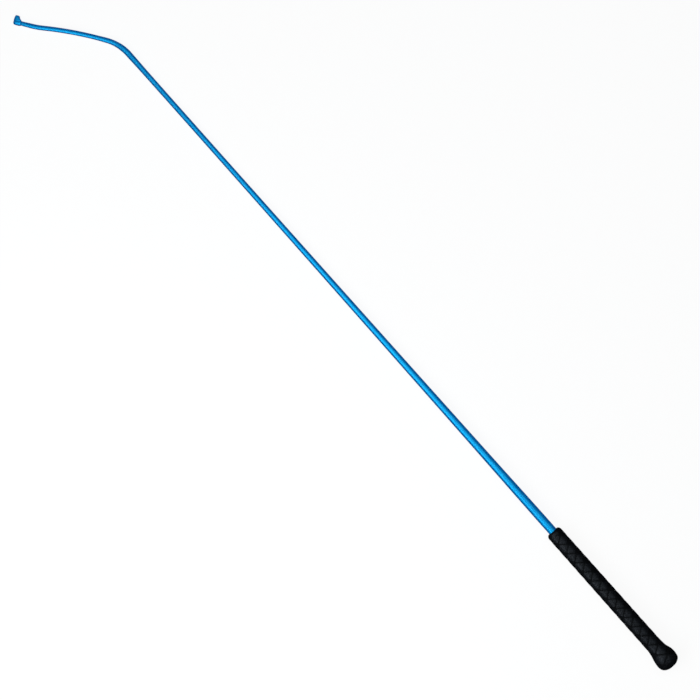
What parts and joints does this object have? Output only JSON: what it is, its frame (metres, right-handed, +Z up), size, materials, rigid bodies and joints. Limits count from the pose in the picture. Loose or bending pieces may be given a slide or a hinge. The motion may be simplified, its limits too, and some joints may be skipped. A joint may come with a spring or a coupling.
{
  "type": "livestock show stick",
  "caption": "Slim tapered blue aluminium show stick with a gently bent front end, a blunt hook tip and a black plaited-look rubber grip with a bulb end.",
  "frame": {"origin": "under the middle of the stick's box in plan, at the level of the surface that the stick lies on", "axes": "+X along the shaft from the grip's butt to the hook, +Y the side that the front end bends to, +Z up from the surface that the stick lies on"},
  "size_m": [1.3465, 0.1132, 0.0336],
  "materials": {
    "anodised_tube": "satin blue anodised",
    "anodised_hook": "satin blue anodised casting",
    "grip_rubber": "satin moulded black rubber with an engraved plait",
    "grip_tape": "matt double-sided paper tape"
  },
  "bodies": {
    "root": {"shaft": "anodised_tube", "hook_tip": "anodised_hook", "grip": "grip_rubber", "grip_tape": "grip_tape"}
  },
  "joints": []
}
